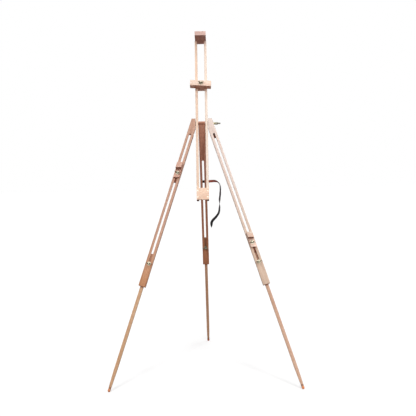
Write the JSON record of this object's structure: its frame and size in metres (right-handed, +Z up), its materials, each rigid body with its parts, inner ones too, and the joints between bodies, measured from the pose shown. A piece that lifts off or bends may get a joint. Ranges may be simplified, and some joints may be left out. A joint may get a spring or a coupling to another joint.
{
  "type": "wooden folding easel",
  "caption": "Folding wooden field easel: slotted mast with a sliding clamp, splayed front legs with canvas pegs, hinged rear leg, telescoping lower legs, wing nuts and a tying strap.",
  "frame": {"origin": "on the floor, in the middle of the space that the easel takes up", "axes": "+Z up, -Y the painter's side (front), +X to the right as the painter sees it"},
  "size_m": [0.9106, 0.9954, 1.7237],
  "materials": {
    "mast_wood": "pale smooth beech, oiled",
    "leg_wood": "smooth beech, oiled",
    "lower_wood": "smooth beech, oiled",
    "rear_wood": "smooth beech, oiled",
    "block_wood": "smooth beech, oiled",
    "zinc": "yellowish zinc plate",
    "brass": "dull",
    "fibre": "hard dark fibre",
    "tip_plastic": "orange-brown",
    "leather": "dark maroon, worn"
  },
  "bodies": {
    "head": {"cheek_left": "rear_wood", "cheek_right": "rear_wood", "head_bolt": "zinc", "head_washer": "zinc", "head_spacer": "brass", "left_hinge_screw": "zinc", "right_hinge_screw": "zinc"},
    "tilt_washers": {"tilt_washer_left": "fibre", "tilt_washer_right": "fibre"},
    "mast": {"mast_rail_left": "mast_wood", "mast_rail_right": "mast_wood", "mast_bottom_board": "mast_wood", "mast_top_cap": "block_wood", "cap_screw_left": "zinc", "cap_screw_right": "zinc", "board_screw_left_upper": "zinc", "board_screw_left_lower": "zinc", "board_screw_right_upper": "zinc", "board_screw_right_lower": "zinc"},
    "clamp": {"clamp_bar": "block_wood", "clamp_guide": "block_wood", "clamp_bolt": "zinc", "clamp_washer": "zinc"},
    "clamp_nut": {"clamp_wing_nut": "zinc"},
    "head_nut": {"head_wing_nut": "zinc"},
    "left_leg": {"left_upper_leg": "leg_wood", "left_back_strip": "rear_wood"},
    "left_lower": {"left_lower_leg": "lower_wood", "left_foot_tip": "tip_plastic", "left_lock_bolt": "zinc", "left_lock_washer": "zinc"},
    "left_lock_nut": {"left_lock_wing_nut": "zinc"},
    "left_peg": {"left_peg": "block_wood", "left_peg_slide": "rear_wood", "left_peg_bolt": "zinc", "left_peg_washer": "zinc"},
    "left_peg_nut": {"left_peg_wing_nut": "zinc"},
    "right_leg": {"right_upper_leg": "leg_wood", "right_back_strip": "rear_wood"},
    "right_lower": {"right_lower_leg": "lower_wood", "right_foot_tip": "tip_plastic", "right_lock_bolt": "zinc", "right_lock_washer": "zinc"},
    "right_lock_nut": {"right_lock_wing_nut": "zinc"},
    "right_peg": {"right_peg": "block_wood", "right_peg_slide": "rear_wood", "right_peg_bolt": "zinc", "right_peg_washer": "zinc"},
    "right_peg_nut": {"right_peg_wing_nut": "zinc"},
    "rear_leg": {"rear_upper_leg": "rear_wood", "rear_back_strip": "rear_wood", "tie_strap": "leather", "strap_screw": "zinc"},
    "rear_lower": {"rear_lower_leg": "lower_wood", "rear_foot_tip": "tip_plastic", "rear_lock_bolt": "zinc", "rear_lock_washer": "zinc"},
    "rear_lock_nut": {"rear_lock_wing_nut": "zinc"}
  },
  "joints": [
    {"name": "mast_tilt", "type": "hinge", "parent": "head", "child": "tilt_washers", "pos_m": [0, -0.13437, 1.2525], "axis": [1, 0, 0], "range_deg": [-73, 21]},
    {"name": "mast_slide", "type": "slide", "parent": "tilt_washers", "child": "mast", "axis": [0, 0.2756, 0.9613], "range_m": [-0.145, 0.32]},
    {"name": "clamp_slide", "type": "slide", "parent": "mast", "child": "clamp", "axis": [0, -0.2756, -0.9613], "range_m": [-0.22, 0.14]},
    {"name": "clamp_nut_turn", "type": "hinge", "parent": "clamp", "child": "clamp_nut", "pos_m": [0, -0.13788, 1.45792], "axis": [0, -0.9613, 0.2756], "continuous": true},
    {"name": "head_nut_turn", "type": "hinge", "parent": "head", "child": "head_nut", "pos_m": [0.07, -0.13437, 1.2525], "axis": [1, 0, 0], "continuous": true},
    {"name": "left_splay", "type": "hinge", "parent": "head", "child": "left_leg", "pos_m": [-0.0486, -0.15662, 1.23111], "axis": [0, -0.9613, 0.2756], "range_deg": [0, 17.5]},
    {"name": "left_lower_slide", "type": "slide", "parent": "left_leg", "child": "left_lower", "axis": [-0.3007, -0.2629, -0.9168], "range_m": [-0.37, 0]},
    {"name": "left_lock_turn", "type": "hinge", "parent": "left_lower", "child": "left_lock_nut", "pos_m": [-0.2633, -0.34817, 0.57763], "axis": [0, -0.9613, 0.2756], "continuous": true},
    {"name": "left_peg_slide", "type": "slide", "parent": "left_leg", "child": "left_peg", "axis": [-0.3007, -0.2629, -0.9168], "range_m": [-0.16, 0.36]},
    {"name": "left_peg_turn", "type": "hinge", "parent": "left_peg", "child": "left_peg_nut", "pos_m": [-0.12257, -0.23667, 1.00999], "axis": [0, -0.9613, 0.2756], "continuous": true},
    {"name": "right_splay", "type": "hinge", "parent": "head", "child": "right_leg", "pos_m": [0.0486, -0.15662, 1.23111], "axis": [0, 0.9613, -0.2756], "range_deg": [0, 17.5]},
    {"name": "right_lower_slide", "type": "slide", "parent": "right_leg", "child": "right_lower", "axis": [0.3007, -0.2629, -0.9168], "range_m": [-0.515, 0]},
    {"name": "right_lock_turn", "type": "hinge", "parent": "right_lower", "child": "right_lock_nut", "pos_m": [0.2633, -0.34817, 0.57763], "axis": [0, -0.9613, 0.2756], "continuous": true},
    {"name": "right_peg_slide", "type": "slide", "parent": "right_lower", "child": "right_peg", "axis": [-0.3007, 0.2629, 0.9168], "range_m": [0, 0.515]},
    {"name": "right_peg_turn", "type": "hinge", "parent": "right_peg", "child": "right_peg_nut", "pos_m": [0.23414, -0.3342, 0.66987], "axis": [0, -0.9613, 0.2756], "continuous": true},
    {"name": "rear_swing", "type": "hinge", "parent": "head", "child": "rear_leg", "pos_m": [0, -0.13437, 1.2525], "axis": [1, 0, 0], "range_deg": [-42.5, 15]},
    {"name": "rear_lower_slide", "type": "slide", "parent": "rear_leg", "child": "rear_lower", "axis": [0, 0.4462, -0.8949], "range_m": [-0.52, 0]},
    {"name": "rear_lock_turn", "type": "hinge", "parent": "rear_lower", "child": "rear_lock_nut", "pos_m": [0, 0.17659, 0.59295], "axis": [0, -0.8949, -0.4462], "continuous": true}
  ]
}
